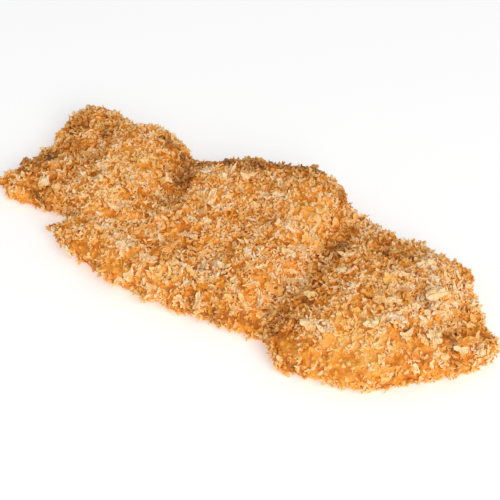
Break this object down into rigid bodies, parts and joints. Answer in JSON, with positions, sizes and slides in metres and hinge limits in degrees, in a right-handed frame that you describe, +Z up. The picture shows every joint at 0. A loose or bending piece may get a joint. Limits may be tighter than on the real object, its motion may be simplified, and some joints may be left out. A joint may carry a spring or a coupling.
{
  "type": "fried chicken fillet",
  "caption": "Whole breaded fried chicken fillet, long and craggy, humped across its length and notched at one end, lying flat.",
  "frame": {"origin": "on the surface that the fillet lies on, under the middle of its bounding box", "axes": "+X along the fillet to its blunt lobed end, +Y across it to its far side, +Z up through its thickness"},
  "size_m": [0.2024, 0.0984, 0.0214],
  "materials": {
    "batter": "orange-gold fried batter, rough, with a faint sheen of oil",
    "crumbs": "cream to golden dry bread crumbs, matte and jagged"
  },
  "bodies": {
    "root": {"fried_chicken_fillet": "batter"}
  },
  "joints": []
}
